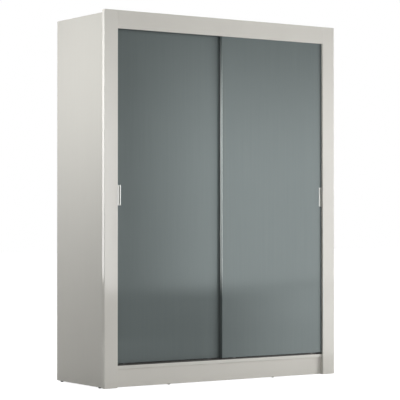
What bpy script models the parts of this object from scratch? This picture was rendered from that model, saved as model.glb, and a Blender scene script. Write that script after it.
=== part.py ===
"""Sliding door wardrobe: a carcass behind a face frame, and two doors that roll past each other.

Metres, +Z up. The front faces -Y, the width runs along X, and the origin is on the floor, at the
middle of the plan. Depths named "behind" are counted from the front face of the face frame.
"""

import math

import bmesh
import bpy
from mathutils import Matrix, Vector

# Overall size.
WIDTH = 1.500
DEPTH = 0.500
HEIGHT = 1.950

# Clearances.
FIT = 0.0003  # between two faces that rest on each other
PIN_FIT = 0.00008  # all round an axle pin
SINK = 0.004  # how far a cutter passes an open side

# Boards.
BOARD = 0.018
BACK_SHEET = 0.003
EDGE = 0.0008  # rounding of a board's edges
FRAME_EDGE = 0.0014  # rounding of the face frame's edges

# Face frame: two stiles and a top rail, flush with each other.
STILE_WIDTH = 0.080
FRAME_THICK = 0.025
LIP_THICK = 0.0115  # what is left of a stile in front of its rabbet
RABBET = 0.024  # how far the rabbet runs into a stile, along X
RAIL_HEIGHT = 0.095
STILE_GROUND = 0.002

# Carcass.
SIDE_GROUND = 0.006  # underside of a side panel above the floor
TOP_DROP = 0.015  # top of the carcass below the top of the frame
BASE_UNDER = 0.097
PLINTH_GROUND = 0.004
PLINTH_BEHIND = 0.019
BACK_INSET = 0.0028  # back sheets, in from the rear edge of the side panels
STRIP_WEB = 0.0014
STRIP_FLANGE = 0.0012
STRIP_WIDTH = 0.018

# Doors.
DOOR_THICK = 0.020
DOOR_BEHIND_LIP = 0.0015
DOOR_GAP = 0.004  # between the two doors
DOOR_OVERLAP = 0.016
END_CLEAR = 0.002  # door edge to the bottom of the rabbet
DOOR_OVER_RAIL = 0.0037  # bottom edge above the running ribs
HANG_LIFT = 0.008  # top edge below the top track, to lift the door in

# Bottom track, with one running rib for each door.
TRACK_PLATE = 0.002
RIB_WIDTH = 0.0024
LIP_WIDTH = 0.002
TRACK_BEYOND_RIB = 0.0095  # rib's middle to the outside of the track
BOTTOM_TRACK_LEFT = 0.017  # from the bottom of the left rabbet
BOTTOM_TRACK_RIGHT = 0.071  # from the bottom of the right rabbet

# Rollers, let into the bottom edge of each door.
TREAD_RADIUS = 0.010
FLANGE_RADIUS = 0.0125
FLANGE_OVER_PLATE = 0.001  # wheel's flange above the plate of the track
WHEEL_WIDTH = 0.0056
GROOVE_WIDTH = 0.0034
PIN_RADIUS = 0.002
PIN_END = 0.0002  # pin end inside the face of its housing
HOUSING_LENGTH = 0.050
HOUSING_CHEEK = 0.002
HOUSING_ROOF = 0.003
WHEEL_SIDE_CLEAR = 0.0004
WHEEL_ROUND_CLEAR = 0.0014
WHEEL_FROM_EDGE = 0.085

# Top track, a channel for each door, and the guides that run in it.
CHANNEL_DEEP = 0.018
TRACK_WALL = 0.002
GUIDE_LENGTH = 0.040
GUIDE_WIDTH = 0.010
GUIDE_SIDE_CLEAR = 0.001
GUIDE_REACH = 0.010  # tongue inside its channel
GUIDE_PLATE = 0.0025
GUIDE_PLATE_OVER = 0.003  # plate past the tongue, all round
GUIDE_FROM_EDGE = 0.060
SPIGOT_RADIUS = 0.004
SPIGOT_LENGTH = 0.014
STOP_LENGTH = 0.020

# Flush pulls.
PULL_HEIGHT = 0.105
PULL_WIDTH = 0.015
PULL_FLANGE = 0.0015
PULL_RIM = 0.0013  # flange past the cup, all round
PULL_WALL = 0.0012
PULL_DEEP = 0.0095
PULL_PROUD = 0.0006
PULL_MIDDLE = 0.995  # above the floor
FRONT_PULL_FROM_EDGE = 0.030
REAR_PULL_FROM_EDGE = 0.053

# Inside.
DIVIDER_CLEAR = 0.0055  # behind the rear door
SHELF_SETBACK = 0.012  # behind the front edge of the divider
HAT_SPACE = 0.270  # from the hat shelves to the top panel
UPPER_SHELF_TOP = 1.120
LOWER_SHELF_TOP = 0.615
BATTEN = 0.018
BATTEN_SHORT = 0.020  # batten's end in from the shelf's front and back
RAIL_RADIUS = 0.0125
RAIL_WALL = 0.0015
RAIL_BELOW_SHELF = 0.055
SOCKET_FLOOR = 0.002
SOCKET_RING = 0.0030
SOCKET_REACH = 0.014
SOCKET_FLANGE = 0.0235
SOCKET_FLANGE_THICK = 0.003
SOCKET_SCREW_HOLE = 0.0025

# Glides under the side panels and the plinths.
GLIDE_RADIUS = 0.008
GLIDE_EDGE = 0.001
SIDE_GLIDE_FROM_FRONT = 0.060
SIDE_GLIDE_FROM_BACK = 0.040
PLINTH_GLIDE_OUT = 0.340

# Finishes: colour, roughness, metallic.
FINISHES = {
    "frame_lacquer": ((0.66, 0.64, 0.59), 0.38, 0.0),
    "door_lacquer": ((0.205, 0.240, 0.238), 0.30, 0.0),
    "board_melamine": ((0.60, 0.58, 0.53), 0.50, 0.0),
    "back_sheet": ((0.62, 0.60, 0.56), 0.65, 0.0),
    "satin_aluminium": ((0.66, 0.66, 0.63), 0.34, 1.0),
    "brushed_steel": ((0.56, 0.56, 0.55), 0.28, 1.0),
    "grey_plastic": ((0.16, 0.16, 0.16), 0.48, 0.0),
    "white_plastic": ((0.70, 0.70, 0.68), 0.42, 0.0),
}

# Places that follow from the sizes.
FRONT = -DEPTH / 2
BACK = DEPTH / 2
SIDE_IN = WIDTH / 2 - BOARD
BETWEEN_SIDES = SIDE_IN - FIT
OPENING = WIDTH / 2 - STILE_WIDTH
BETWEEN_STILES = OPENING - FIT
RUN = OPENING + RABBET
BEHIND_FRAME = FRONT + FRAME_THICK + FIT
BEHIND_LIP = FRONT + LIP_THICK + FIT
CARCASS_TOP = HEIGHT - TOP_DROP
TOP_UNDER = CARCASS_TOP - BOARD
BASE_TOP = BASE_UNDER + BOARD
RAIL_UNDER = HEIGHT - RAIL_HEIGHT

SHEET_BACK = BACK - BACK_INSET
SHEET_FRONT = SHEET_BACK - BACK_SHEET
PANEL_BACK = SHEET_FRONT - FIT
STRIP_FRONT = SHEET_FRONT - FIT - STRIP_FLANGE
INSIDE_BACK = STRIP_FRONT - FIT

DOOR_WIDTH = RUN - END_CLEAR + DOOR_OVERLAP / 2
TRAVEL = 2 * (RUN - END_CLEAR) - DOOR_WIDTH
FRONT_DOOR_FACE = FRONT + LIP_THICK + DOOR_BEHIND_LIP
REAR_DOOR_FACE = FRONT_DOOR_FACE + DOOR_THICK + DOOR_GAP
FRONT_DOOR_MIDDLE = FRONT_DOOR_FACE + DOOR_THICK / 2
REAR_DOOR_MIDDLE = REAR_DOOR_FACE + DOOR_THICK / 2

BOTTOM_TRACK_FROM = BASE_TOP + FIT
PLATE_TOP = BOTTOM_TRACK_FROM + TRACK_PLATE
RIB_HEIGHT = FLANGE_RADIUS - TREAD_RADIUS + FLANGE_OVER_PLATE
RIB_TOP = PLATE_TOP + RIB_HEIGHT
DOOR_BOTTOM = RIB_TOP + DOOR_OVER_RAIL
AXLE_HEIGHT = RIB_TOP + FIT + TREAD_RADIUS
HOUSING_WIDTH = WHEEL_WIDTH + 2 * (WHEEL_SIDE_CLEAR + HOUSING_CHEEK)
WHEEL_ROOM = FLANGE_RADIUS + WHEEL_ROUND_CLEAR
HOUSING_TOP = AXLE_HEIGHT + WHEEL_ROOM + HOUSING_ROOF

TOP_TRACK_TOP = TOP_UNDER - FIT
CHANNEL_TOP = TOP_TRACK_TOP - TRACK_WALL
TOP_TRACK_UNDER = CHANNEL_TOP - CHANNEL_DEEP
DOOR_TOP = TOP_TRACK_UNDER - HANG_LIFT
CHANNEL_HALF = GUIDE_WIDTH / 2 + GUIDE_SIDE_CLEAR
GUIDE_PLATE_FROM = DOOR_TOP + FIT

DIVIDER_FRONT = REAR_DOOR_FACE + DOOR_THICK + DIVIDER_CLEAR
SHELF_FRONT = DIVIDER_FRONT + SHELF_SETBACK
HAT_SHELF_TOP = TOP_UNDER - HAT_SPACE
DIVIDER_HALF = BOARD / 2
HANGING_HEIGHT = HAT_SHELF_TOP - BOARD - RAIL_BELOW_SHELF
HANGING_DEPTH = (DIVIDER_FRONT + INSIDE_BACK) / 2

ROUND_STEPS = 48
SMALL_STEPS = 32
SHARP = math.radians(30)


def clear_scene():
    """Empty the startup scene."""
    for obj in list(bpy.data.objects):
        bpy.data.objects.remove(obj, do_unlink=True)


def new_collection(name, rendered):
    """A collection of the scene, which renders or not."""
    group = bpy.data.collections.new(name)
    group.hide_render = not rendered
    bpy.context.scene.collection.children.link(group)
    return group


clear_scene()
PIECES = new_collection("sliding_door_wardrobe", True)
CUTTERS = new_collection("cutters", False)


def give_finish(obj, finish):
    """A material of the object's own, in the named finish."""
    colour, roughness, metallic = FINISHES[finish]
    material = bpy.data.materials.new(obj.name)
    material.use_nodes = True
    shader = material.node_tree.nodes["Principled BSDF"]
    shader.inputs["Base Color"].default_value = (*colour, 1.0)
    shader.inputs["Roughness"].default_value = roughness
    shader.inputs["Metallic"].default_value = metallic
    material.diffuse_color = (*colour, 1.0)
    obj.data.materials.append(material)


def place(name, mesh, where, finish, parent):
    """Put a mesh into the scene at a world position; with no finish it is a cutter."""
    obj = bpy.data.objects.new(name, mesh)
    if finish is None:
        CUTTERS.objects.link(obj)
        obj.hide_render = True
        obj.display_type = "WIRE"
    else:
        PIECES.objects.link(obj)
        give_finish(obj, finish)
    obj.location = Vector(where)
    if parent is not None:
        obj.parent = parent
        obj.location = Vector(where) - parent.location
    return obj


def block(name, low, high, finish=None, edge=0.0, parent=None):
    """A box between two opposite corners, with its edges rounded by the given radius."""
    low, high = Vector(low), Vector(high)
    shape = bmesh.new()
    bmesh.ops.create_cube(shape, size=1.0, matrix=Matrix.Diagonal((*(high - low), 1.0)))
    mesh = bpy.data.meshes.new(name)
    shape.to_mesh(mesh)
    shape.free()
    obj = place(name, mesh, (low + high) / 2, finish, parent)
    if edge:
        rounding = obj.modifiers.new("edge_rounding", "BEVEL")
        rounding.width = edge
        rounding.segments = 2
        rounding.limit_method = "ANGLE"
    return obj


def rod(name, middle, axis, radius, length, finish=None, steps=SMALL_STEPS, edge=0.0, parent=None):
    """A round bar of the given radius and length, centred on a point."""
    turn = Vector((0, 0, 1)).rotation_difference(Vector(axis)).to_matrix().to_4x4()
    shape = bmesh.new()
    bmesh.ops.create_cone(
        shape, cap_ends=True, segments=steps, radius1=radius, radius2=radius, depth=length, matrix=turn
    )
    mesh = bpy.data.meshes.new(name)
    shape.to_mesh(mesh)
    shape.free()
    mesh.shade_smooth()
    mesh.set_sharp_from_angle(angle=SHARP)
    obj = place(name, mesh, middle, finish, parent)
    if edge:
        rounding = obj.modifiers.new("edge_rounding", "BEVEL")
        rounding.width = edge
        rounding.segments = 2
        rounding.limit_method = "ANGLE"
    return obj


def turned(name, profile, middle, axis, finish, steps=ROUND_STEPS, parent=None):
    """A ring turned about an axis from a closed profile of (radius, distance along the axis)."""
    shape = bmesh.new()
    points = [shape.verts.new((radius, 0.0, along)) for radius, along in profile]
    for first, second in zip(points, points[1:] + points[:1]):
        shape.edges.new((first, second))
    mesh = bpy.data.meshes.new(name)
    shape.to_mesh(mesh)
    shape.free()
    obj = place(name, mesh, middle, finish, parent)
    obj.rotation_mode = "QUATERNION"
    obj.rotation_quaternion = Vector((0, 0, 1)).rotation_difference(Vector(axis))
    lathe = obj.modifiers.new("lathe", "SCREW")
    lathe.axis = "Z"
    lathe.steps = steps
    lathe.render_steps = steps
    lathe.use_smooth_shade = True
    lathe.use_normal_flip = True
    lathe.use_merge_vertices = True
    lathe.merge_threshold = 0.00001
    return obj


def combine(obj, other, operation):
    """Cut the other shape from an object, or join it on."""
    step = obj.modifiers.new(other.name, "BOOLEAN")
    step.operation = operation
    step.solver = "EXACT"
    step.object = other


def cut_block(obj, name, low, high, parent=None):
    """Cut a box out of an object."""
    combine(obj, block(name, low, high, parent=parent), "DIFFERENCE")


def span(first, second):
    """Two places along an axis, the lower one first."""
    return min(first, second), max(first, second)


def notched_panel(name, bottom, top):
    """A panel between the sides, with a nose that comes forward between the stiles."""
    panel = block(
        name,
        (-BETWEEN_SIDES, BEHIND_LIP, bottom),
        (BETWEEN_SIDES, PANEL_BACK, top),
        "board_melamine",
        EDGE,
    )
    for side, hand in ((-1, "left"), (1, "right")):
        low, high = span(side * BETWEEN_STILES, side * (WIDTH / 2))
        cut_block(
            panel,
            f"{name}_notch_{hand}",
            (low, BEHIND_LIP - SINK, bottom - SINK),
            (high, BEHIND_FRAME, top + SINK),
        )


def build_face_frame():
    """Two stiles, rabbeted behind for the doors, and the rail across the top."""
    for side, hand in ((-1, "left"), (1, "right")):
        low, high = span(side * OPENING, side * WIDTH / 2)
        stile = block(
            f"stile_{hand}",
            (low, FRONT, STILE_GROUND),
            (high, FRONT + FRAME_THICK, HEIGHT),
            "frame_lacquer",
            FRAME_EDGE,
        )
        low, high = span(side * (OPENING - SINK), side * RUN)
        cut_block(
            stile,
            f"stile_{hand}_rabbet",
            (low, FRONT + LIP_THICK, BASE_TOP),
            (high, FRONT + FRAME_THICK + SINK, TOP_UNDER),
        )
    block(
        "top_rail",
        (-BETWEEN_STILES, FRONT, RAIL_UNDER),
        (BETWEEN_STILES, FRONT + LIP_THICK, HEIGHT),
        "frame_lacquer",
        FRAME_EDGE,
    )


def build_carcass():
    """Sides, top, base, divider, back sheets with their joint strip, and the plinths."""
    for side, hand in ((-1, "left"), (1, "right")):
        low, high = span(side * SIDE_IN, side * WIDTH / 2)
        block(
            f"side_panel_{hand}",
            (low, BEHIND_FRAME, SIDE_GROUND),
            (high, BACK, CARCASS_TOP),
            "frame_lacquer",
            EDGE,
        )
        low, high = span(side * (STRIP_WEB / 2 + FIT), side * BETWEEN_SIDES)
        block(
            f"back_sheet_{hand}",
            (low, SHEET_FRONT, BASE_UNDER),
            (high, SHEET_BACK, CARCASS_TOP),
            "back_sheet",
        )
    notched_panel("base_panel", BASE_UNDER, BASE_TOP)
    notched_panel("top_panel", TOP_UNDER, CARCASS_TOP)
    block(
        "centre_divider",
        (-DIVIDER_HALF, DIVIDER_FRONT, BASE_TOP + FIT),
        (DIVIDER_HALF, INSIDE_BACK, TOP_UNDER - FIT),
        "board_melamine",
        EDGE,
    )
    strip = block(
        "back_joint_strip",
        (-STRIP_WIDTH / 2, STRIP_FRONT, BASE_TOP + FIT),
        (STRIP_WIDTH / 2, SHEET_BACK + FIT + STRIP_FLANGE, TOP_UNDER - FIT),
        "white_plastic",
    )
    for side, hand in ((-1, "left"), (1, "right")):
        low, high = span(side * STRIP_WEB / 2, side * (STRIP_WIDTH / 2 + SINK))
        cut_block(
            strip,
            f"back_joint_strip_groove_{hand}",
            (low, SHEET_FRONT - FIT, BASE_TOP - SINK),
            (high, SHEET_BACK + FIT, TOP_UNDER + SINK),
        )
    block(
        "plinth_front",
        (-BETWEEN_STILES, FRONT + PLINTH_BEHIND, PLINTH_GROUND),
        (BETWEEN_STILES, FRONT + PLINTH_BEHIND + BOARD, BASE_UNDER - FIT),
        "frame_lacquer",
        EDGE,
    )
    block(
        "plinth_rear",
        (-BETWEEN_SIDES, PANEL_BACK - BOARD, PLINTH_GROUND),
        (BETWEEN_SIDES, PANEL_BACK, BASE_UNDER - FIT),
        "board_melamine",
        EDGE,
    )
    block(
        "plinth_rib",
        (-BOARD / 2, FRONT + PLINTH_BEHIND + BOARD + FIT, PLINTH_GROUND),
        (BOARD / 2, PANEL_BACK - BOARD - FIT, BASE_UNDER - FIT),
        "board_melamine",
        EDGE,
    )


def build_glides():
    """Round glides that carry the sides and the plinths on the floor."""
    for side, hand in ((-1, "left"), (1, "right")):
        beside = side * (WIDTH / 2 - BOARD / 2)
        inward = side * PLINTH_GLIDE_OUT
        feet = (
            ("side_front", beside, FRONT + SIDE_GLIDE_FROM_FRONT, SIDE_GROUND),
            ("side_rear", beside, BACK - SIDE_GLIDE_FROM_BACK, SIDE_GROUND),
            ("plinth_front", inward, FRONT + PLINTH_BEHIND + BOARD / 2, PLINTH_GROUND),
            ("plinth_rear", inward, PANEL_BACK - BOARD / 2, PLINTH_GROUND),
        )
        for place_name, across, along, ground in feet:
            tall = ground - FIT
            rod(
                f"glide_{place_name}_{hand}",
                (across, along, tall / 2),
                (0, 0, 1),
                GLIDE_RADIUS,
                tall,
                "grey_plastic",
                edge=GLIDE_EDGE,
            )


def build_inside():
    """Hat shelves, two shelves on battens, and the hanging rail in its sockets."""
    bays = (("left", -BETWEEN_SIDES, -DIVIDER_HALF - FIT), ("right", DIVIDER_HALF + FIT, BETWEEN_SIDES))
    for hand, low, high in bays:
        block(
            f"hat_shelf_{hand}",
            (low, SHELF_FRONT, HAT_SHELF_TOP - BOARD),
            (high, INSIDE_BACK, HAT_SHELF_TOP),
            "board_melamine",
            EDGE,
        )
    _, low, high = bays[1]
    for level, top in (("upper", UPPER_SHELF_TOP), ("lower", LOWER_SHELF_TOP)):
        under = top - BOARD
        block(
            f"shelf_{level}",
            (low, SHELF_FRONT, under),
            (high, INSIDE_BACK, top),
            "board_melamine",
            EDGE,
        )
        for hand, start in (("inner", low), ("outer", high - BATTEN)):
            block(
                f"batten_{level}_{hand}",
                (start, SHELF_FRONT + BATTEN_SHORT, under - FIT - BATTEN),
                (start + BATTEN, INSIDE_BACK - BATTEN_SHORT, under - FIT),
                "board_melamine",
                EDGE,
            )
    build_hanging_rail(bays[0][1], bays[0][2])


def build_hanging_rail(low, high):
    """A tube along the left bay, held by a flanged socket at each end."""
    bore = RAIL_RADIUS + FIT
    socket = (
        (SOCKET_SCREW_HOLE, 0.0),
        (SOCKET_FLANGE, 0.0),
        (SOCKET_FLANGE, SOCKET_FLANGE_THICK),
        (bore + SOCKET_RING, SOCKET_FLANGE_THICK),
        (bore + SOCKET_RING, SOCKET_REACH),
        (bore, SOCKET_REACH),
        (bore, SOCKET_FLOOR),
        (SOCKET_SCREW_HOLE, SOCKET_FLOOR),
    )
    turned("rail_socket_outer", socket, (low, HANGING_DEPTH, HANGING_HEIGHT), (1, 0, 0), "brushed_steel")
    turned("rail_socket_inner", socket, (high, HANGING_DEPTH, HANGING_HEIGHT), (-1, 0, 0), "brushed_steel")
    half = (high - low) / 2 - SOCKET_FLOOR - FIT
    tube = (
        (RAIL_RADIUS - RAIL_WALL, -half),
        (RAIL_RADIUS, -half),
        (RAIL_RADIUS, half),
        (RAIL_RADIUS - RAIL_WALL, half),
    )
    middle = ((low + high) / 2, HANGING_DEPTH, HANGING_HEIGHT)
    turned("hanging_rail", tube, middle, (1, 0, 0), "brushed_steel")


def build_tracks():
    """The ribbed track under the doors, the channel track over them, and its end stops."""
    front = FRONT_DOOR_MIDDLE - TRACK_BEYOND_RIB - RIB_WIDTH / 2
    back = REAR_DOOR_MIDDLE + TRACK_BEYOND_RIB + RIB_WIDTH / 2
    left = -RUN + BOTTOM_TRACK_LEFT
    right = RUN - BOTTOM_TRACK_RIGHT
    track = block("bottom_track", (left, front, BOTTOM_TRACK_FROM), (right, back, RIB_TOP), "satin_aluminium")
    grooves = (
        ("front", front + LIP_WIDTH, FRONT_DOOR_MIDDLE - RIB_WIDTH / 2),
        ("middle", FRONT_DOOR_MIDDLE + RIB_WIDTH / 2, REAR_DOOR_MIDDLE - RIB_WIDTH / 2),
        ("rear", REAR_DOOR_MIDDLE + RIB_WIDTH / 2, back - LIP_WIDTH),
    )
    for groove, low, high in grooves:
        cut_block(
            track,
            f"bottom_track_groove_{groove}",
            (left - SINK, low, PLATE_TOP),
            (right + SINK, high, RIB_TOP + SINK),
        )
    half = RUN - FIT
    wall = CHANNEL_HALF + TRACK_WALL
    track = block(
        "top_track",
        (-half, FRONT_DOOR_MIDDLE - wall, TOP_TRACK_UNDER),
        (half, REAR_DOOR_MIDDLE + wall, TOP_TRACK_TOP),
        "satin_aluminium",
    )
    slots = (
        ("front", FRONT_DOOR_MIDDLE - CHANNEL_HALF, FRONT_DOOR_MIDDLE + CHANNEL_HALF),
        ("middle", FRONT_DOOR_MIDDLE + wall, REAR_DOOR_MIDDLE - wall),
        ("rear", REAR_DOOR_MIDDLE - CHANNEL_HALF, REAR_DOOR_MIDDLE + CHANNEL_HALF),
    )
    for slot, low, high in slots:
        cut_block(
            track,
            f"top_track_slot_{slot}",
            (-half - SINK, low, TOP_TRACK_UNDER - SINK),
            (half + SINK, high, CHANNEL_TOP),
        )
    nearest = RUN - END_CLEAR - GUIDE_FROM_EDGE + GUIDE_LENGTH / 2 + FIT
    for row, middle in (("front", FRONT_DOOR_MIDDLE), ("rear", REAR_DOOR_MIDDLE)):
        for side, hand in ((-1, "left"), (1, "right")):
            low, high = span(side * nearest, side * (nearest + STOP_LENGTH))
            block(
                f"track_stop_{row}_{hand}",
                (low, middle - CHANNEL_HALF + FIT, TOP_TRACK_UNDER),
                (high, middle + CHANNEL_HALF - FIT, CHANNEL_TOP - FIT),
                "grey_plastic",
            )


def build_pull(name, panel, across, face, parent):
    """A flush pull: a flanged cup let into the face of a door."""
    outside = PULL_WIDTH / 2
    tall = PULL_HEIGHT / 2
    rim_face = face - PULL_PROUD
    rim_back = rim_face + PULL_FLANGE
    cup_back = rim_face + PULL_DEEP
    pull = block(
        name,
        (across - outside, rim_face, PULL_MIDDLE - tall),
        (across + outside, rim_back, PULL_MIDDLE + tall),
        "satin_aluminium",
        PULL_PROUD / 2,
        parent,
    )
    wide = outside - PULL_RIM
    high = tall - PULL_RIM
    cup = block(
        f"{name}_cup",
        (across - wide, rim_face + PULL_FLANGE / 2, PULL_MIDDLE - high),
        (across + wide, cup_back, PULL_MIDDLE + high),
        parent=parent,
    )
    combine(pull, cup, "UNION")
    cut_block(
        pull,
        f"{name}_hollow",
        (across - wide + PULL_WALL, rim_face - SINK, PULL_MIDDLE - high + PULL_WALL),
        (across + wide - PULL_WALL, cup_back - PULL_WALL, PULL_MIDDLE + high - PULL_WALL),
        parent,
    )
    cut_block(
        panel,
        f"{name}_rebate",
        (across - outside - FIT, face - SINK, PULL_MIDDLE - tall - FIT),
        (across + outside + FIT, rim_back + FIT, PULL_MIDDLE + tall + FIT),
        parent,
    )
    cut_block(
        panel,
        f"{name}_mortice",
        (across - wide - FIT, face, PULL_MIDDLE - high - FIT),
        (across + wide + FIT, cup_back + FIT, PULL_MIDDLE + high + FIT),
        parent,
    )


def build_guide(name, panel, across, middle, parent):
    """A guide on the top edge of a door, with its tongue up in the channel."""
    half = GUIDE_LENGTH / 2
    guide = block(
        name,
        (across - half, middle - GUIDE_WIDTH / 2, GUIDE_PLATE_FROM),
        (across + half, middle + GUIDE_WIDTH / 2, TOP_TRACK_UNDER + GUIDE_REACH),
        "grey_plastic",
        EDGE,
        parent,
    )
    plate = block(
        f"{name}_plate",
        (across - half, middle - GUIDE_WIDTH / 2 - GUIDE_PLATE_OVER, GUIDE_PLATE_FROM),
        (across + half, middle + GUIDE_WIDTH / 2 + GUIDE_PLATE_OVER, GUIDE_PLATE_FROM + GUIDE_PLATE),
        parent=parent,
    )
    combine(guide, plate, "UNION")
    deep = SPIGOT_LENGTH + GUIDE_PLATE
    where = (across, middle, GUIDE_PLATE_FROM + GUIDE_PLATE - deep / 2)
    combine(guide, rod(f"{name}_spigot", where, (0, 0, 1), SPIGOT_RADIUS, deep, parent=parent), "UNION")
    where = (across, middle, DOOR_TOP - SPIGOT_LENGTH / 2 + SINK / 2)
    hole = rod(
        f"{name}_hole", where, (0, 0, 1), SPIGOT_RADIUS + FIT, SPIGOT_LENGTH + SINK, parent=parent
    )
    combine(panel, hole, "DIFFERENCE")


def build_roller(name, panel, across, middle, parent):
    """A housing let into the bottom edge of a door, with a grooved wheel on its pin."""
    half = HOUSING_LENGTH / 2
    wide = HOUSING_WIDTH / 2
    housing = block(
        f"{name}_housing",
        (across - half, middle - wide, DOOR_BOTTOM),
        (across + half, middle + wide, HOUSING_TOP),
        "grey_plastic",
        EDGE / 2,
        parent,
    )
    slot = WHEEL_WIDTH / 2 + WHEEL_SIDE_CLEAR
    cut_block(
        housing,
        f"{name}_wheel_room",
        (across - WHEEL_ROOM, middle - slot, DOOR_BOTTOM - SINK),
        (across + WHEEL_ROOM, middle + slot, AXLE_HEIGHT + WHEEL_ROOM),
        parent,
    )
    axle = (across, middle, AXLE_HEIGHT)
    hole = rod(
        f"{name}_pin_hole", axle, (0, 1, 0), PIN_RADIUS + PIN_FIT, HOUSING_WIDTH + SINK, parent=parent
    )
    combine(housing, hole, "DIFFERENCE")
    cut_block(
        panel,
        f"{name}_mortice",
        (across - half - FIT, middle - wide - FIT, DOOR_BOTTOM - SINK),
        (across + half + FIT, middle + wide + FIT, HOUSING_TOP + FIT),
        parent,
    )
    rod(
        f"{name}_pin",
        axle,
        (0, 1, 0),
        PIN_RADIUS,
        HOUSING_WIDTH - 2 * PIN_END,
        "brushed_steel",
        parent=parent,
    )
    bore = PIN_RADIUS + PIN_FIT
    out = WHEEL_WIDTH / 2
    groove = GROOVE_WIDTH / 2
    wheel = (
        (bore, -out),
        (FLANGE_RADIUS, -out),
        (FLANGE_RADIUS, -groove),
        (TREAD_RADIUS, -groove),
        (TREAD_RADIUS, groove),
        (FLANGE_RADIUS, groove),
        (FLANGE_RADIUS, out),
        (bore, out),
    )
    turned(f"{name}_wheel", wheel, axle, (0, 1, 0), "white_plastic", SMALL_STEPS, parent)


def build_door(row, face, side, pull_from_edge):
    """A door panel with its pull, two rollers and two guides; side is where it is shut."""
    middle = face + DOOR_THICK / 2
    closing_edge = side * (RUN - END_CLEAR)
    inner_edge = closing_edge - side * DOOR_WIDTH
    carriage = bpy.data.objects.new(f"{row}_door_carriage", None)
    carriage.location = ((closing_edge + inner_edge) / 2, middle, AXLE_HEIGHT)
    PIECES.objects.link(carriage)
    low, high = span(closing_edge, inner_edge)
    panel = block(
        f"{row}_door_panel",
        (low, face, DOOR_BOTTOM),
        (high, face + DOOR_THICK, DOOR_TOP),
        "door_lacquer",
        EDGE,
        carriage,
    )
    build_pull(f"{row}_door_pull", panel, closing_edge - side * pull_from_edge, face, carriage)
    for hand, edge, inward in (("left", low, 1), ("right", high, -1)):
        build_guide(
            f"{row}_door_guide_{hand}", panel, edge + inward * GUIDE_FROM_EDGE, middle, carriage
        )
        build_roller(
            f"{row}_roller_{hand}", panel, edge + inward * WHEEL_FROM_EDGE, middle, carriage
        )


build_face_frame()
build_carcass()
build_glides()
build_inside()
build_tracks()
build_door("front", FRONT_DOOR_FACE, 1, FRONT_PULL_FROM_EDGE)
build_door("rear", REAR_DOOR_FACE, -1, REAR_PULL_FROM_EDGE)
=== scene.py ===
"""Sliding door wardrobe: finishes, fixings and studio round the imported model."""

import logging
import math
from dataclasses import dataclass, field, replace
from enum import Enum

import bmesh
import bpy
from mathutils import Matrix, Vector


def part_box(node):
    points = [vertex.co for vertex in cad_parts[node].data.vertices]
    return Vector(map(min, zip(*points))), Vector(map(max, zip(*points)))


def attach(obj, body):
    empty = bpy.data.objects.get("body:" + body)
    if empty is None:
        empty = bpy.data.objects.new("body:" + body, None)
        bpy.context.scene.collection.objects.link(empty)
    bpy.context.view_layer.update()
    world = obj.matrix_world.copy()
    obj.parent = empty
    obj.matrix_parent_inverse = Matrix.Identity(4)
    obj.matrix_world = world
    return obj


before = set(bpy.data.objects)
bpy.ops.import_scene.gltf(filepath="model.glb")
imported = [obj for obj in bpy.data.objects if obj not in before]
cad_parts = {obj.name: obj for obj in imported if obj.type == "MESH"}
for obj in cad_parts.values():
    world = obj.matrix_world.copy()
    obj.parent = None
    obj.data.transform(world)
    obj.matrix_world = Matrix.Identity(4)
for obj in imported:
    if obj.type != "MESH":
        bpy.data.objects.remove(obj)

LOG = logging.getLogger("wardrobe")
HANDS = ("left", "right")
WHITE = (1.0, 1.0, 1.0, 1.0)

Colour = tuple[float, float, float]
Place = tuple[float, float, float]


class Run(Enum):
    """The way in which a grain or a brushed finish runs."""

    UPRIGHT = (1.0, 1.0, 0.0)
    ALONG = (0.0, 1.0, 1.0)


class Socket(Enum):
    """The kinds of socket on a shared effect."""

    VALUE = "NodeSocketFloat"
    VECTOR = "NodeSocketVector"


class Body(Enum):
    """The bodies that pieces ride on."""

    CARCASS = "carcass"
    FRONT_DOOR = "front_door"
    REAR_DOOR = "rear_door"


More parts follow.
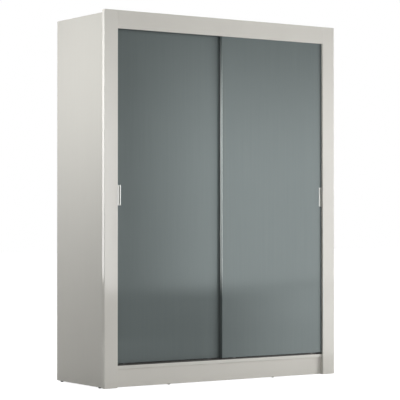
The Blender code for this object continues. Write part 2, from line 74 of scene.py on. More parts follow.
@dataclass
class NodeBench:
    """A node tree under construction, with short ways to add and join nodes."""

    tree: bpy.types.NodeTree

    def add(self, kind: str, **settings: object) -> bpy.types.Node:
        """Add a node.

        Args:
            kind: The node's type name.
            settings: Properties to set on the node, by name.

        Returns:
            The new node.
        """
        node = self.tree.nodes.new(kind)
        for name, value in settings.items():
            setattr(node, name, value)
        return node

    def plug(self, socket: bpy.types.NodeSocket, value: object) -> None:
        """Link an output to an input, or set the input to a plain value.

        Args:
            socket: The input.
            value: An output socket, a number, a vector or a colour.
        """
        if isinstance(value, bpy.types.NodeSocket):
            self.tree.links.new(value, socket)
        else:
            socket.default_value = value

    def feed(self, node: bpy.types.Node, **values: object) -> bpy.types.Node:
        """Set or link a node's inputs.

        Args:
            node: The node whose inputs are set.
            values: A value or an output socket for each input, named with _ for a space.

        Returns:
            The same node.
        """
        for name, value in values.items():
            self.plug(node.inputs[name.replace("_", " ")], value)
        return node

    def place(self) -> bpy.types.NodeSocket:
        """Give the point on the surface, in the piece's own metres."""
        return self.add("ShaderNodeTexCoord").outputs["Object"]

    def split(self, vector: bpy.types.NodeSocket) -> tuple[bpy.types.NodeSocket, ...]:
        """Split a vector into its X, Y and Z."""
        return tuple(self.feed(self.add("ShaderNodeSeparateXYZ"), Vector=vector).outputs)

    def noise(
        self, vector: bpy.types.NodeSocket, scale: object, detail: float, roughness: float = 0.5
    ) -> bpy.types.Node:
        """Add a noise texture; detail and roughness set its finer layers."""
        node = self.add("ShaderNodeTexNoise")
        return self.feed(node, Vector=vector, Scale=scale, Detail=detail, Roughness=roughness)

    def calc(
        self, operation: str, first: object, second: object = 0.0, third: object = 0.0
    ) -> bpy.types.NodeSocket:
        """Do a sum.

        Args:
            operation: The sum's name.
            first: The first number or socket.
            second: The second number or socket.
            third: The third number or socket.

        Returns:
            The answer.
        """
        node = self.add("ShaderNodeMath", operation=operation)
        for socket, value in zip(node.inputs, (first, second, third)):
            self.plug(socket, value)
        return node.outputs[0]

    def spread(
        self,
        value: bpy.types.NodeSocket,
        low: float,
        high: float,
        to_low: float = 0.0,
        to_high: float = 1.0,
        smooth: bool = False,
    ) -> bpy.types.NodeSocket:
        """Map a range of values to another, clamped.

        Args:
            value: The socket to map.
            low: Start of the range.
            high: End of the range.
            to_low: What the start becomes.
            to_high: What the end becomes.
            smooth: Whether the change eases in and out.

        Returns:
            The mapped value.
        """
        easing = "SMOOTHSTEP" if smooth else "LINEAR"
        node = self.add("ShaderNodeMapRange", interpolation_type=easing)
        self.feed(node, Value=value, From_Min=low, From_Max=high, To_Min=to_low, To_Max=to_high)
        return node.outputs["Result"]

    def tint(self, amount: object, base: object, other: object) -> bpy.types.NodeSocket:
        """Mix two colours.

        Args:
            amount: How much of the second colour, 0 to 1.
            base: The first colour or socket.
            other: The second colour or socket.

        Returns:
            The mixed colour.
        """
        node = self.add("ShaderNodeMix", data_type="RGBA")
        for socket, value in ((0, amount), (6, base), (7, other)):
            self.plug(node.inputs[socket], value)
        return node.outputs[2]


class EffectGroups:
    """Surface effects shared by the finishes, each a node group that is built once."""

    def __init__(self) -> None:
        """Build every group."""
        self.mottle = self._mottle()
        self.grain = self._grain()
        self.edges = self._edges()
        self.dust = self._dust()

    @staticmethod
    def _open(
        name: str, inputs: dict[str, float | Place], outputs: dict[str, Socket]
    ) -> tuple[NodeBench, bpy.types.Node, bpy.types.Node]:
        """Start a group.

        Args:
            name: The group's name.
            inputs: The default of each input, by name.
            outputs: The kind of each output, by name.

        Returns:
            The bench, the group's input node and its output node.
        """
        tree = bpy.data.node_groups.new(name, "ShaderNodeTree")
        for label, default in inputs.items():
            kind = Socket.VECTOR if isinstance(default, tuple) else Socket.VALUE
            socket = tree.interface.new_socket(label, in_out="INPUT", socket_type=kind.value)
            socket.default_value = default
        for label, kind in outputs.items():
            tree.interface.new_socket(label, in_out="OUTPUT", socket_type=kind.value)
        bench = NodeBench(tree)
        return bench, bench.add("NodeGroupInput"), bench.add("NodeGroupOutput")

    def _mottle(self) -> bpy.types.NodeTree:
        """Slow cloudiness and the fine skin of a sprayed or moulded surface.

        Returns:
            A group that gives Cloud and Skin, both about 0.5.
        """
        bench, given, result = self._open(
            "surface_mottle",
            {"Cloud Scale": 3.0, "Skin Scale": 700.0},
            {"Cloud": Socket.VALUE, "Skin": Socket.VALUE},
        )
        place = bench.place()
        cloud = bench.noise(place, given.outputs["Cloud Scale"], 3.0, 0.55)
        skin = bench.noise(place, given.outputs["Skin Scale"], 2.0)
        bench.feed(result, Cloud=cloud.outputs[0], Skin=skin.outputs[0])
        return bench.tree

    def _grain(self) -> bpy.types.NodeTree:
        """Long streaks, such as wood grain or brushing, with the run set by a vector.

        Returns:
            A group that gives Streak and Pore, both 0 to 1.
        """
        bench, given, result = self._open(
            "long_grain",
            {"Across": Run.UPRIGHT.value, "Scale": 120.0, "Draw": 0.03, "Wander": 0.01},
            {"Streak": Socket.VALUE, "Pore": Socket.VALUE},
        )
        place = bench.place()
        push = bench.add("ShaderNodeCombineXYZ")
        for axis in range(3):
            bench.plug(push.inputs[axis], given.outputs["Wander"])
        moved = bench.add("ShaderNodeVectorMath", operation="MULTIPLY_ADD")
        drift = bench.noise(place, 2.2, 2.0).outputs["Color"]
        for socket, vector in zip(moved.inputs, (drift, push.outputs[0], place)):
            bench.plug(socket, vector)
        spot = bench.split(moved.outputs[0])
        across = bench.split(given.outputs["Across"])
        drawn = bench.add("ShaderNodeCombineXYZ")
        for axis in range(3):
            kept = bench.calc("MAXIMUM", across[axis], given.outputs["Draw"])
            bench.plug(drawn.inputs[axis], bench.calc("MULTIPLY", spot[axis], kept))
        coarse = bench.noise(drawn.outputs[0], given.outputs["Scale"], 4.0, 0.6)
        finer = bench.calc("MULTIPLY", given.outputs["Scale"], 3.7)
        fine = bench.noise(drawn.outputs[0], finer, 2.0, 0.6)
        bench.feed(
            result,
            Streak=bench.spread(coarse.outputs[0], 0.3, 0.7),
            Pore=bench.spread(fine.outputs[0], 0.52, 0.72),
        )
        return bench.tree

    def _edges(self) -> bpy.types.NodeTree:
        """Edges and corners: where handling wears them, and how they round over.

        Returns:
            A group that gives Wear, 0 on flats and up to 1 on edges, and Soft, the rounded normal.
        """
        bench, given, result = self._open(
            "edge_wear",
            {"Radius": 0.0015, "Patchy": 60.0},
            {"Wear": Socket.VALUE, "Soft": Socket.VECTOR},
        )
        bevel = bench.add("ShaderNodeBevel", samples=4)
        rounded = bench.feed(bevel, Radius=given.outputs["Radius"]).outputs[0]
        bent = bench.add("ShaderNodeVectorMath", operation="DOT_PRODUCT")
        bench.plug(bent.inputs[0], rounded)
        bench.plug(bent.inputs[1], bench.add("ShaderNodeNewGeometry").outputs["Normal"])
        edge = bench.spread(bent.outputs["Value"], 0.86, 0.995, 1.0, 0.0)
        patch = bench.noise(bench.place(), given.outputs["Patchy"], 4.0)
        broken = bench.spread(patch.outputs[0], 0.42, 0.62, 0.15, 1.0)
        bench.feed(result, Wear=bench.calc("MULTIPLY", edge, broken), Soft=rounded)
        return bench.tree

    def _dust(self) -> bpy.types.NodeTree:
        """Dust that settles on faces that look up.

        Returns:
            A group that gives Dust, 0 to 1.
        """
        bench, given, result = self._open(
            "settled_dust", {"Amount": 0.3}, {"Dust": Socket.VALUE}
        )
        up = bench.split(bench.add("ShaderNodeNewGeometry").outputs["Normal"])[2]
        facing = bench.spread(up, 0.6, 0.98)
        drift = bench.noise(bench.place(), 38.0, 6.0, 0.7)
        speck = bench.spread(drift.outputs[0], 0.38, 0.66, 0.25, 1.0)
        fall = bench.calc("MULTIPLY", facing, speck)
        bench.feed(result, Dust=bench.calc("MULTIPLY", fall, given.outputs["Amount"]))
        return bench.tree


@dataclass(frozen=True)
class Finish:
    """A surface finish: colour, gloss, cloudiness, grain, wear, a painted edge highlight and dust.

    The colours are linear. Depths, widths and radii are in metres. A painted highlight on
    upright edges comes in over the two foot heights and goes out over the two head heights.
    Smoothest and roughest are how far the clouds change the roughness.
    """

    name: str
    colour: Colour
    roughness: float
    metallic: float = 0.0
    smoothest: float = 0.90
    roughest: float = 1.12
    cloud: float = 0.03
    cloud_scale: float = 3.0
    skin_scale: float = 700.0
    skin_depth: float = 0.00001
    run: Run | None = None
    grain_scale: float = 140.0
    grain_draw: float = 0.03
    grain_wander: float = 0.008
    grain_tint: float = 0.05
    grain_depth: float = 0.00002
    pore_roughness: float = 0.25
    edge_radius: float = 0.0014
    wear: float = 0.25
    wear_colour: Colour = (0.80, 0.79, 0.76)
    wear_roughness: float = 0.10
    dust: float = 0.10
    dust_colour: Colour = (0.52, 0.50, 0.47)
    dust_roughness: float = 0.5
    specular: float = 0.5
    sheen_colour: Colour = (1.0, 1.0, 1.0)
    # Painted highlight on upright edges: its strength, width, colour and heights.
    edge_highlight: float = 0.0
    highlight_width: float = 0.006
    highlight_colour: Colour = (0.5, 0.5, 0.5)
    highlight_foot: tuple[float, float] = (0.44, 0.62)
    highlight_head: tuple[float, float] = (1.90, 1.25)

    def _between(
        self, bench: NodeBench, mask: bpy.types.NodeSocket, amount: float
    ) -> bpy.types.NodeSocket:
        """Vary the finish's colour from a darker to a lighter shade.

        Args:
            bench: The material's bench.
            mask: Where it is lighter, 0 to 1.
            amount: How far each shade is from the colour, as a part of it.

        Returns:
            The varied colour.
        """
        darker = tuple(part * (1.0 - amount) for part in self.colour)
        lighter = tuple(min(part * (1.0 + amount), 1.0) for part in self.colour)
        return bench.tint(mask, (*darker, 1.0), (*lighter, 1.0))

    def make(self, groups: EffectGroups) -> bpy.types.Material:
        """Build the material.

        Args:
            groups: The shared effects.

        Returns:
            The material.
        """
        material = bpy.data.materials.new(self.name)
        material.use_nodes = True
        bench = NodeBench(material.node_tree)
        shader = material.node_tree.nodes["Principled BSDF"]
        shader.inputs["Metallic"].default_value = self.metallic
        shader.inputs["Specular IOR Level"].default_value = self.specular
        shader.inputs["Specular Tint"].default_value = (*self.sheen_colour, 1.0)

        mottle = bench.add("ShaderNodeGroup", node_tree=groups.mottle)
        bench.feed(mottle, Cloud_Scale=self.cloud_scale, Skin_Scale=self.skin_scale)
        cloudy = bench.spread(mottle.outputs["Cloud"], 0.3, 0.7)
        colour = self._between(bench, cloudy, self.cloud)
        smooth, dull = self.roughness * self.smoothest, self.roughness * self.roughest
        rough = bench.spread(cloudy, 0.0, 1.0, smooth, dull)
        height = bench.calc("MULTIPLY", mottle.outputs["Skin"], self.skin_depth)
        if self.run is not None:
            grain = bench.add("ShaderNodeGroup", node_tree=groups.grain)
            bench.feed(
                grain,
                Across=self.run.value,
                Scale=self.grain_scale,
                Draw=self.grain_draw,
                Wander=self.grain_wander,
            )
            streak = grain.outputs["Streak"]
            colour = bench.tint(0.5, colour, self._between(bench, streak, self.grain_tint))
            pores = self.roughness * self.pore_roughness
            rough = bench.calc("MULTIPLY_ADD", grain.outputs["Pore"], pores, rough)
            height = bench.calc("MULTIPLY_ADD", streak, self.grain_depth, height)
        edge = bench.add("ShaderNodeGroup", node_tree=groups.edges)
        bench.feed(edge, Radius=self.edge_radius)
        worn = bench.calc("MULTIPLY", edge.outputs["Wear"], self.wear)
        colour = bench.tint(worn, colour, (*self.wear_colour, 1.0))
        rough = bench.calc("MULTIPLY_ADD", worn, self.wear_roughness, rough)
        # Painted highlight: a pale strip on the upright edges, fading out towards the foot and the
        # head.
        if self.edge_highlight:
            colour = self._paint_edge_highlight(bench, colour)
        settled = bench.add("ShaderNodeGroup", node_tree=groups.dust)
        dusty = bench.feed(settled, Amount=self.dust).outputs["Dust"]
        colour = bench.tint(dusty, colour, (*self.dust_colour, 1.0))
        rough = bench.calc("MULTIPLY_ADD", dusty, self.dust_roughness, rough)
        bump = bench.add("ShaderNodeBump")
        bench.feed(bump, Strength=1.0, Distance=1.0, Height=height, Normal=edge.outputs["Soft"])
        bench.feed(shader, Base_Color=colour, Roughness=rough, Normal=bump.outputs[0])
        material.diffuse_color = (*self.colour, 1.0)
        return material

    def _paint_edge_highlight(self, bench: NodeBench, colour: bpy.types.NodeSocket) -> bpy.types.NodeSocket:
        """Paint a pale highlight on the upright edges, between the foot and head heights.

        Args:
            bench: The material's bench.
            colour: The colour so far.

        Returns:
            The colour with the painted edge highlight.
        """
        rounded = bench.feed(bench.add("ShaderNodeBevel", samples=6), Radius=self.highlight_width)
        turned = bench.split(rounded.outputs[0])[0]
        edge = bench.spread(bench.calc("ABSOLUTE", turned), 0.12, 0.40)
        height = bench.split(bench.place())[2]
        above = bench.spread(height, *self.highlight_foot, smooth=True)
        below = bench.spread(height, *self.highlight_head, smooth=True)
        reach = bench.calc("MULTIPLY", above, below)
        amount = bench.calc("MULTIPLY", bench.calc("MULTIPLY", edge, reach), self.edge_highlight)
        return bench.tint(amount, colour, (*self.highlight_colour, 1.0))


@dataclass
class FinishRack:
    """Every finish of the wardrobe, made once and handed out by name."""

    groups: EffectGroups
    frame_lacquer: Finish = Finish(
        "frame_lacquer_gloss",
        (0.640, 0.622, 0.575),
        0.08,
        cloud=0.012,
        skin_scale=420.0,
        skin_depth=0.000012,
        wear=0.20,
        dust=0.12,
    )
    side_lacquer: Finish = Finish(
        "side_panel_lacquer",
        (0.600, 0.588, 0.545),
        0.42,
        specular=0.04,
        cloud=0.015,
        skin_scale=520.0,
        skin_depth=0.00002,
        run=Run.UPRIGHT,
        grain_scale=90.0,
        grain_tint=0.015,
        grain_depth=0.00001,
        wear=0.18,
        wear_colour=(0.78, 0.77, 0.74),
        dust=0.12,
    )
    door_lacquer: Finish = Finish(
        "door_lacquer_gloss",
        (0.120, 0.140, 0.139),
        0.08,
        cloud=0.03,
        skin_scale=420.0,
        skin_depth=0.000012,
        run=Run.UPRIGHT,
        grain_scale=95.0,
        grain_draw=0.02,
        grain_tint=0.045,
        grain_depth=0.000005,
        wear=0.18,
        wear_colour=(0.22, 0.25, 0.25),
        # Painted highlight: a pale strip on the doors' upright edges, strongest at mid height.
        edge_highlight=0.95,
        highlight_colour=(0.820, 0.870, 0.860),
        dust=0.10,
        sheen_colour=(0.88, 1.0, 1.0),
    )
    melamine: Finish = Finish(
        "board_melamine_fine",
        (0.600, 0.585, 0.540),
        0.48,
        cloud=0.02,
        skin_scale=900.0,
        skin_depth=0.00003,
        run=Run.ALONG,
        grain_scale=150.0,
        grain_tint=0.03,
        grain_depth=0.00001,
        wear=0.15,
        dust=0.16,
    )
    back_sheet: Finish = Finish(
        "back_sheet_hardboard",
        (0.560, 0.535, 0.480),
        0.68,
        cloud=0.05,
        cloud_scale=6.0,
        skin_scale=1100.0,
        skin_depth=0.00006,
        run=Run.UPRIGHT,
        grain_scale=260.0,
        grain_draw=0.35,
        grain_wander=0.03,
        grain_tint=0.05,
        wear=0.10,
        dust=0.10,
    )
    aluminium: Finish = Finish(
        "satin_aluminium_brushed",
        (0.640, 0.640, 0.615),
        0.34,
        metallic=1.0,
        cloud=0.02,
        skin_depth=0.000004,
        run=Run.ALONG,
        grain_scale=900.0,
        grain_draw=0.01,
        grain_wander=0.0,
        grain_tint=0.05,
        grain_depth=0.000006,
        wear=0.20,
        dust=0.14,
    )
    dark_aluminium: Finish = replace(
        aluminium,
        name="dark_anodised_aluminium",
        colour=(0.045, 0.043, 0.040),
        roughness=0.42,
        metallic=0.6,
        wear=0.10,
        wear_colour=(0.16, 0.155, 0.15),
        dust=0.10,
    )
    pull_metal: Finish = replace(
        aluminium,
        name="pull_satin_metal",
        colour=(0.640, 0.645, 0.620),
        roughness=0.36,
        run=Run.UPRIGHT,
        wear=0.25,
        dust=0.05,
    )
    steel: Finish = replace(
        aluminium,
        name="brushed_steel_fine",
        colour=(0.560, 0.560, 0.550),
        roughness=0.27,
        skin_depth=0.000003,
        grain_scale=1100.0,
        grain_tint=0.06,
        grain_depth=0.000004,
        dust=0.10,
    )
    grey_plastic: Finish = Finish(
        "grey_plastic_moulded",
        (0.060, 0.060, 0.062),
        0.50,
        cloud=0.04,
        cloud_scale=30.0,
        skin_scale=2600.0,
        skin_depth=0.00003,
        wear=0.30,
        wear_colour=(0.18, 0.18, 0.18),
        dust=0.12,
    )
    white_plastic: Finish = replace(
        grey_plastic,
        name="white_plastic_moulded",
        colour=(0.690, 0.690, 0.670),
        roughness=0.40,
        cloud=0.02,
        skin_depth=0.00002,
        wear=0.15,
        wear_colour=(0.80, 0.79, 0.76),
        dust=0.10,
    )
    wheel_nylon: Finish = replace(
        grey_plastic,
        name="wheel_nylon_grey",
        colour=(0.180, 0.180, 0.175),
        roughness=0.38,
        cloud_scale=40.0,
        skin_depth=0.00002,
        wear=0.25,
        wear_colour=(0.30, 0.30, 0.29),
        dust=0.10,
    )
    made: dict[str, bpy.types.Material] = field(default_factory=dict)

    def get(self, finish: Finish) -> bpy.types.Material:
        """Give a finish's material.

        Args:
            finish: The finish wanted.

        Returns:
            Its material, made at the first call.
        """
        if finish.name not in self.made:
            self.made[finish.name] = finish.make(self.groups)
        return self.made[finish.name]

    def dress(self, obj: bpy.types.Object, finish: Finish) -> None:
        """Put a finish on every material slot of an object.

        Args:
            obj: The object.
            finish: The finish.
        """
        material = self.get(finish)
        if not obj.material_slots:
            obj.data.materials.append(material)
        for slot in obj.material_slots:
            slot.material = material


@dataclass
class Dresser:
    """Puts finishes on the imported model's own pieces."""

    rack: FinishRack

    def dress_nodes(self, names: tuple[str, ...], finish: Finish) -> None:
        """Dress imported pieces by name.

        Args:
            names: The pieces.
            finish: The finish for all of them.
        """
        for name in names:
            self.rack.dress(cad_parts[name], finish)
            LOG.info("%s: %s", name, finish.name)


@dataclass
class FaceFrame:
    """The stiles, top rail and front plinth, in gloss lacquer."""

    dresser: Dresser
    boards: tuple[str, ...] = ("stile_left", "stile_right", "top_rail", "plinth_front")

    def build(self) -> None:
        """Dress the boards."""
        self.dresser.dress_nodes(self.boards, self.dresser.rack.frame_lacquer)


def turn(profile: list[tuple[float, float]], segments: int) -> bmesh.types.BMesh:
    """Spin a profile round Z into a closed shape.

    Args:
        profile: Radius and height of each point, from the seat's rim up to the axis.
        segments: Steps round the turn.

    Returns:
        The shape.
    """
    shape = bmesh.new()
    angles = [2 * math.pi * step / segments for step in range(segments)]
    rings = []
    for radius, height in profile[:-1]:
        points = [(radius * math.cos(angle), radius * math.sin(angle), height) for angle in angles]
        rings.append([shape.verts.new(point) for point in points])
    rings.append([shape.verts.new((0.0, 0.0, profile[-1][1]))] * segments)
    shape.faces.new(rings[0][::-1])
    for low, high in zip(rings, rings[1:]):
        for step in range(segments):
            after = (step + 1) % segments
            around = (low[step], low[after], high[after], high[step])
            shape.faces.new(dict.fromkeys(around))
    return shape


def placed(name: str, shape: bmesh.types.BMesh) -> bpy.types.Object:
    """Make an object from a bmesh, which is freed.

    Args:
        name: The object's name.
        shape: Its shape.

    Returns:
        The object, linked to the scene.
    """
    mesh = bpy.data.meshes.new(name)
    shape.to_mesh(mesh)
    shape.free()
    obj = bpy.data.objects.new(name, mesh)
    bpy.context.scene.collection.objects.link(obj)
    return obj


@dataclass
class ScrewHead:
    """A pan-head screw with a cross recess; sizes in metres."""

    radius: float = 0.0036
    height: float = 0.0016
    recess_long: float = 0.0042
    recess_wide: float = 0.0010
    recess_deep: float = 0.0011
    rim: float = 0.35
    crown: float = 0.12
    steps: int = 5
    segments: int = 24

    def shape(self) -> bpy.types.Mesh:
        """Turn the dome and cut the cross.

        Returns:
            A mesh whose seat is at the origin and whose head points along +Z.
        """
        profile = [(self.radius, 0.0), (self.radius, self.height * self.rim)]
        for step in range(1, self.steps + 1):
            angle = step / self.steps * math.pi / 2
            across = self.crown + (1 - self.crown) * math.cos(angle) if step < self.steps else 0.0
            up = self.rim + (1 - self.rim) * math.sin(angle)
            profile.append((self.radius * across, self.height * up))
        head = placed("screw_head_template", turn(profile, self.segments))
        cross = bmesh.new()
        top = Matrix.Translation((0, 0, self.height))
        arm = (self.recess_long, self.recess_wide)
        for along, across in (arm, arm[::-1]):
            size = Matrix.Diagonal((along, across, self.recess_deep * 2, 1.0))
            bmesh.ops.create_cube(cross, size=1.0, matrix=top @ size)
        cutter = placed("screw_recess_template", cross)
        recess = head.modifiers.new("recess", "BOOLEAN")
        recess.operation = "DIFFERENCE"
        recess.use_self = True
        recess.object = cutter
        graph = bpy.context.evaluated_depsgraph_get()
        mesh = bpy.data.meshes.new_from_object(head.evaluated_get(graph))
        for part in (head, cutter):
            bpy.data.objects.remove(part, do_unlink=True)
        return mesh


@dataclass
class TurnedCap:
    """A round cap with a softened rim, such as a pin's head; sizes in metres."""

    radius: float
    height: float
    softened: float
    dish: float = 0.0
    segments: int = 28
    steps: int = 4
    dish_rim: float = 0.55
    dish_floor: float = 0.45

    def shape(self) -> bpy.types.Mesh:
        """Turn the cap.

        Returns:
            A mesh whose seat is at the origin and whose cap points along +Z.
        """
        profile = [(self.radius, 0.0)]
        for step in range(self.steps + 1):
            angle = step / self.steps * math.pi / 2
            inward = self.softened * (1 - math.cos(angle))
            down = self.softened * (1 - math.sin(angle))
            profile.append((self.radius - inward, self.height - down))
        floor = self.height - self.dish
        profile.append((self.radius * self.dish_rim, self.height))
        profile += [(self.radius * self.dish_floor, floor), (0.0, floor)]
        shape = turn(profile, self.segments)
        mesh = bpy.data.meshes.new("turned_cap_template")
        shape.to_mesh(mesh)
        shape.free()
        return mesh


@dataclass
class Fixings:
    """Screws, pins and covers in rows, each row one piece that rides on the carcass."""

    rack: FinishRack
    head: ScrewHead = field(default_factory=ScrewHead)
    pin: TurnedCap = field(default_factory=lambda: TurnedCap(0.0024, 0.0008, 0.0006))
    cover: TurnedCap = field(default_factory=lambda: TurnedCap(0.0088, 0.0012, 0.0006, 0.0004, 40))
    turn_each: float = 37.0
    sharp_edge: float = 35.0

    def row(self, name: str, mesh: bpy.types.Mesh, places: list[Place], facing: Place) -> None:
        """Set a row of steel heads, each modelled pointing along +Z, into one piece."""
        self._set(name, mesh, places, facing, self.rack.steel)

    def covers(self, name: str, places: list[Place], facing: Place) -> None:
        """Set plastic covers over the fittings that draw two boards together."""
        finish = self.rack.white_plastic
        self._set(name, self.cover.shape(), places, facing, finish)

    def _set(
        self,
        name: str,
        mesh: bpy.types.Mesh,
        places: list[Place],
        facing: Place,
        finish: Finish,
    ) -> None:
        """Copy a shape to each place, and join the copies into one piece.

        Args:
            name: The piece's name.
            mesh: The shape, seated at the origin and pointing along +Z.
            places: Where each copy sits.
            facing: The way the copies point.
            finish: The piece's finish.
        """
        turned = Vector((0, 0, 1)).rotation_difference(Vector(facing)).to_matrix().to_4x4()
        joined = bmesh.new()
        for count, place in enumerate(places):
            copy = mesh.copy()
            spin = Matrix.Rotation(math.radians(self.turn_each * count), 4, "Z")
            copy.transform(Matrix.Translation(place) @ turned @ spin)
            joined.from_mesh(copy)
            bpy.data.meshes.remove(copy)
        obj = placed(name, joined)
        obj.data.shade_smooth()
        obj.data.set_sharp_from_angle(angle=math.radians(self.sharp_edge))
        self.rack.dress(obj, finish)
        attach(obj, Body.CARCASS.value)
        LOG.info("%s: %s, %d set", name, finish.name, len(places))

    @staticmethod
    def spaced(low: float, high: float, inset: float, pitch: float) -> list[float]:
        """Places along a line, evenly spaced.

        Args:
            low: One end.
            high: The other end.
            inset: From each end to the first and last place.
            pitch: The widest spacing allowed.

        Returns:
            The places.
        """
        first, last = low + inset, high - inset
        gaps = max(1, math.ceil((last - first) / pitch))
        return [first + (last - first) * index / gaps for index in range(gaps + 1)]


@dataclass
class Tracks:
    """The two tracks and the screws that hold them."""

    dresser: Dresser
    fixings: Fixings
    plate: float = 0.002
    screw_inset: float = 0.045
    screw_pitch: float = 0.26

    def build(self, head: bpy.types.Mesh) -> None:
        """Dress the tracks and set their screws.

        Args:
            head: The screw head to use.
        """
        rack = self.dresser.rack
        self.dresser.dress_nodes(("top_track",), rack.aluminium)
        self.dresser.dress_nodes(("bottom_track",), rack.dark_aluminium)
        stops = tuple(f"track_stop_{row}_{hand}" for row in ("front", "rear") for hand in HANDS)
        self.dresser.dress_nodes(stops, rack.grey_plastic)
        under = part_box("bottom_track")[0].z + self.plate
        self._screws("bottom_track", head, under, (0, 0, 1))
        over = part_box("top_track")[1].z - self.plate
        self._screws("top_track", head, over, (0, 0, -1))

    def _screws(self, track: str, head: bpy.types.Mesh, level: float, facing: Place) -> None:
        """Set a track's screws along the middle of its plate.

        Args:
            track: The track's name.
            head: The screw head to use.
            level: Height of the face that the heads sit on.
            facing: The way the heads point.
        """
        low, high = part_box(track)
        middle = (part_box("front_door_panel")[1].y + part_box("rear_door_panel")[0].y) / 2
        line = self.fixings.spaced(low.x, high.x, self.screw_inset, self.screw_pitch)
        self.fixings.row(f"{track}_screws", head, [(x, middle, level) for x in line], facing)


@dataclass
class Carcass:
    """Sides, panels, divider, shelves, back, rail and glides."""

    dresser: Dresser
    fixings: Fixings
    pin_inset: float = 0.03
    pin_pitch: float = 0.15
    cover_inset: float = 0.034
    batten_inset: float = 0.05
    batten_pitch: float = 0.16
    levels: tuple[str, ...] = ("upper", "lower")

    def build(self, head: bpy.types.Mesh) -> None:
        """Dress every piece, and set the back's pins and the screws inside.

        Args:
            head: The screw head to use.
        """
        rack = self.dresser.rack
        boards = ("base_panel", "top_panel", "plinth_rear", "plinth_rib", "centre_divider")
        shelves = ("shelf_upper", "shelf_lower", "hat_shelf_left", "hat_shelf_right")
        battens = tuple(f"batten_{row}_{end}" for row in self.levels for end in ("inner", "outer"))
        spots = ("side_front", "side_rear", "plinth_front", "plinth_rear")
        glides = tuple(f"glide_{spot}_{hand}" for spot in spots for hand in HANDS)
        rail = ("hanging_rail", "rail_socket_outer", "rail_socket_inner")
        dress = self.dresser.dress_nodes
        dress(tuple(f"side_panel_{hand}" for hand in HANDS), rack.side_lacquer)
        dress(boards + shelves + battens, rack.melamine)
        dress(tuple(f"back_sheet_{hand}" for hand in HANDS), rack.back_sheet)
        dress(("back_joint_strip",), rack.white_plastic)
        dress(rail, rack.steel)
        dress(glides, rack.grey_plastic)
        self._pins()
        self._batten_screws(head)
        self._covers()

    def _pins(self) -> None:
        """Pin the back sheets to the top panel, the hat shelves and the base panel."""
        places = []
        for hand in HANDS:
            low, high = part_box(f"back_sheet_{hand}")
            for board in ("top_panel", f"hat_shelf_{hand}", "base_panel"):
                level = sum(corner.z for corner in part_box(board)) / 2
                line = self.fixings.spaced(low.x, high.x, self.pin_inset, self.pin_pitch)
                places += [(x, high.y, level) for x in line]
        self.fixings.row("back_pins", self.fixings.pin.shape(), places, (0, 1, 0))

    def _batten_screws(self, head: bpy.types.Mesh) -> None:
        """Screw the battens to the divider and the side panel.

        Args:
            head: The screw head to use.
        """
        for end, way in (("inner", 1), ("outer", -1)):
            places = []
            for level in self.levels:
                low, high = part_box(f"batten_{level}_{end}")
                face = high.x if way > 0 else low.x
                line = self.fixings.spaced(low.y, high.y, self.batten_inset, self.batten_pitch)
                places += [(face, y, (low.z + high.z) / 2) for y in line]
            self.fixings.row(f"batten_screws_{end}", head, places, (way, 0, 0))

    def _covers(self) -> None:
        """Cover the fittings at the ends of the hat shelves, the top panel and the base panel."""
        shelf_low, shelf_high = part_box("hat_shelf_left")
        depths = (shelf_low.y + self.cover_inset, shelf_high.y - 2 * self.cover_inset)
        under, over = [], []
        for board in ("hat_shelf_left", "hat_shelf_right", "top_panel", "base_panel"):
            low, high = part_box(board)
            ends = (low.x + self.cover_inset, high.x - self.cover_inset)
            spots = [(x, y) for x in ends for y in depths]
            if board == "base_panel":
                over += [(x, y, high.z) for x, y in spots]
            else:
                under += [(x, y, low.z) for x, y in spots]
        self.fixings.covers("fitting_covers_under", under, (0, 0, -1))
        self.fixings.covers("fitting_covers_base", over, (0, 0, 1))


@dataclass
class Door:
    """One sliding door with its pull, guides and rollers."""

    dresser: Dresser
    body: Body

    def build(self) -> None:
        """Dress the door's pieces."""
        rack, dress = self.dresser.rack, self.dresser.dress_nodes
        door = self.body.value
        dress((f"{door}_panel",), rack.door_lacquer)
        dress((f"{door}_pull",), rack.pull_metal)
        for hand in HANDS:
            roller = f"{door.removesuffix('_door')}_roller_{hand}"
            dress((f"{door}_guide_{hand}", f"{roller}_housing"), rack.grey_plastic)
            dress((f"{roller}_pin",), rack.steel)
            dress((f"{roller}_wheel",), rack.wheel_nylon)


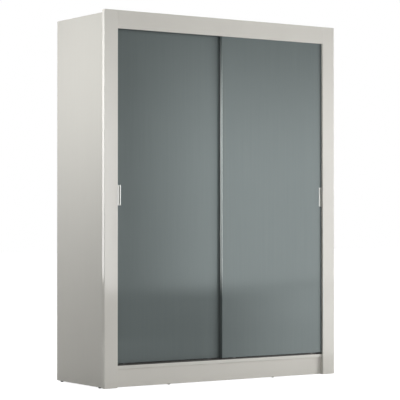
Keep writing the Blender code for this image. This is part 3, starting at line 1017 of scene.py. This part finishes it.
@dataclass
class SoftBox:
    """A rectangular light whose face dims towards chosen edges.

    Left and right are as seen by someone who looks at its face. Each fade is the
    part of the face, 0 to 1, over which the light falls away to that edge.
    """

    name: str
    place: Place
    aim: Place
    wide: float
    tall: float
    radiance: float
    fade_left: float = 0.0
    fade_right: float = 0.0
    fade_top: float = 0.0
    fade_bottom: float = 0.0
    spread: float = 180.0
    mirrored: bool = True
    lights_matt: bool = True

    def build(self) -> None:
        """Make the light."""
        data = bpy.data.lights.new(self.name, "AREA")
        data.shape = "RECTANGLE"
        data.size = self.wide
        data.size_y = self.tall
        data.spread = math.radians(self.spread)
        data.energy = self.radiance * math.pi * self.wide * self.tall
        self._fade(data)
        obj = bpy.data.objects.new(self.name, data)
        bpy.context.scene.collection.objects.link(obj)
        obj.location = self.place
        way = Vector(self.aim) - Vector(self.place)
        obj.rotation_mode = "QUATERNION"
        obj.rotation_quaternion = way.to_track_quat("-Z", "Y")
        obj.visible_camera = False
        obj.visible_glossy = self.mirrored
        obj.visible_diffuse = self.lights_matt

    def _fade(self, data: bpy.types.AreaLight) -> None:
        """Dim the face towards its fading edges.

        Args:
            data: The light.
        """
        data.use_nodes = True
        bench = NodeBench(data.node_tree)
        emission = data.node_tree.nodes["Emission"]
        across, up, _ = bench.split(bench.add("ShaderNodeNewGeometry").outputs["Parametric"])
        edges = (
            (across, self.fade_right, False),
            (across, self.fade_left, True),
            (up, self.fade_bottom, False),
            (up, self.fade_top, True),
        )
        strength = None
        for way, part, far in edges:
            if part:
                start, end = (1.0, 1.0 - part) if far else (0.0, part)
                dimmed = bench.spread(way, start, end, smooth=True)
                strength = dimmed if strength is None else bench.calc("MULTIPLY", strength, dimmed)
        if strength is not None:
            bench.feed(emission, Strength=strength)


@dataclass
class Studio:
    """The pale floor, the even surroundings, the soft boxes and the camera."""

    floor_size: float = 60.0
    floor_colour: Colour = (0.80, 0.80, 0.80)
    floor_roughness: float = 0.9
    floor_specular: float = 0.1
    floor_glow: float = 0.90
    air: float = 0.17
    camera_place: Place = (-4.9637, -7.3899, 0.8678)
    camera_turn: float = -33.93
    camera_tilt: float = 0.70
    camera_lens: float = 145.5
    camera_sensor: float = 36.0
    camera_reach: float = 200.0
    boxes: tuple[SoftBox, ...] = (
        SoftBox(
            "card_right",
            (2.3, -3.24, 1.51),
            (2.3, 0.0, 1.51),
            wide=3.0,
            tall=2.50,
            radiance=3.35,
            fade_right=0.48,
            fade_top=0.63,
            fade_bottom=0.06,
            lights_matt=False,
        ),
        SoftBox(
            "card_strip",
            (0.80, -3.20, 1.52),
            (0.80, 0.0, 1.52),
            wide=0.60,
            tall=2.48,
            radiance=4.7,
            fade_top=0.63,
            fade_bottom=0.06,
        ),
        SoftBox(
            "card_foot",
            (1.25, -1.2, 0.24),
            (1.25, 0.0, 0.24),
            wide=1.68,
            tall=0.47,
            radiance=2.0,
            fade_right=0.57,
            fade_top=0.16,
            lights_matt=False,
        ),
        SoftBox(
            "wall_behind_left",
            (-2.65, 2.8, 1.93),
            (-1.15, 0.0, 1.93),
            wide=1.7,
            tall=3.0,
            radiance=4.3,
            fade_top=0.62,
        ),
        SoftBox(
            "key_right",
            (8.4, -5.0, 1.9),
            (0.0, -0.2, 1.0),
            wide=4.0,
            tall=3.6,
            radiance=14.2,
        ),
        SoftBox(
            "side_left",
            (-3.7, -0.55, 1.77),
            (-0.75, -0.1, 1.77),
            wide=1.5,
            tall=1.2,
            radiance=0.92,
            spread=46.0,
        ),
        SoftBox(
            "fill_left",
            (-6.5, -4.2, 1.5),
            (0.0, -0.25, 1.0),
            wide=3.0,
            tall=3.0,
            radiance=1.5,
            mirrored=False,
        ),
        SoftBox(
            "fill_front",
            (-4.0, -7.0, 4.2),
            (0.0, -0.2, 0.9),
            wide=5.0,
            tall=3.0,
            radiance=0.3,
            mirrored=False,
        ),
        SoftBox(
            "roof",
            (0.0, 0.05, 4.6),
            (0.0, 0.05, 0.0),
            wide=1.6,
            tall=0.5,
            radiance=4.0,
            spread=70.0,
            mirrored=False,
        ),
        SoftBox(
            "back_right",
            (3.0, 5.0, 2.4),
            (0.0, 0.25, 1.0),
            wide=2.5,
            tall=2.5,
            radiance=2.6,
            mirrored=False,
        ),
    )

    def build(self) -> None:
        """Make the floor, the surroundings, the lights and the camera."""
        self._floor()
        self._surroundings()
        for box in self.boxes:
            box.build()
        self._camera()
        bpy.context.scene.view_settings.view_transform = "Standard"
        LOG.info("studio with %d lights", len(self.boxes))

    def _floor(self) -> None:
        """Lay a wide pale floor that glows evenly, so that shadows on it stay soft."""
        shape = bmesh.new()
        bmesh.ops.create_grid(shape, x_segments=1, y_segments=1, size=self.floor_size / 2)
        floor = placed("studio_floor", shape)
        material = bpy.data.materials.new("studio_floor_paint")
        material.use_nodes = True
        bench = NodeBench(material.node_tree)
        shader = material.node_tree.nodes["Principled BSDF"]
        seen = bench.add("ShaderNodeLightPath").outputs["Is Camera Ray"]
        bench.feed(
            shader,
            Base_Color=(*self.floor_colour, 1.0),
            Roughness=self.floor_roughness,
            Specular_IOR_Level=self.floor_specular,
            Emission_Color=WHITE,
            Emission_Strength=bench.calc("MULTIPLY", seen, self.floor_glow),
        )
        floor.data.materials.append(material)

    def _surroundings(self) -> None:
        """Fill the air with even light, and show plain white behind the wardrobe."""
        world = bpy.data.worlds.new("studio_air")
        world.use_nodes = True
        bpy.context.scene.world = world
        bench = NodeBench(world.node_tree)
        world.node_tree.nodes.clear()
        lit = bench.feed(bench.add("ShaderNodeBackground"), Color=WHITE, Strength=self.air)
        seen = bench.feed(bench.add("ShaderNodeBackground"), Color=WHITE, Strength=1.0)
        path = bench.add("ShaderNodeLightPath").outputs["Is Camera Ray"]
        mixed = bench.add("ShaderNodeMixShader")
        for socket, source in zip(mixed.inputs, (path, lit.outputs[0], seen.outputs[0])):
            bench.plug(socket, source)
        bench.feed(bench.add("ShaderNodeOutputWorld"), Surface=mixed.outputs[0])

    def _camera(self) -> None:
        """Stand the camera in front and to the left, at chest height."""
        data = bpy.data.cameras.new("studio_camera")
        data.lens = self.camera_lens
        data.sensor_width = self.camera_sensor
        data.clip_end = self.camera_reach
        camera = bpy.data.objects.new("studio_camera", data)
        bpy.context.scene.collection.objects.link(camera)
        camera.location = self.camera_place
        tilt, heading = math.radians(90.0 + self.camera_tilt), math.radians(self.camera_turn)
        camera.rotation_euler = (tilt, 0.0, heading)
        bpy.context.scene.camera = camera


def main() -> None:
    """Dress the model, add its fixings and set up the studio."""
    logging.basicConfig(level=logging.INFO, format="%(name)s: %(message)s")
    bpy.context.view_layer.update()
    rack = FinishRack(EffectGroups())
    dresser = Dresser(rack)
    fixings = Fixings(rack)
    head = fixings.head.shape()
    FaceFrame(dresser).build()
    Carcass(dresser, fixings).build(head)
    Tracks(dresser, fixings).build(head)
    for body in (Body.FRONT_DOOR, Body.REAR_DOOR):
        Door(dresser, body).build()
    Studio().build()


if __name__ == "__main__":
    main()
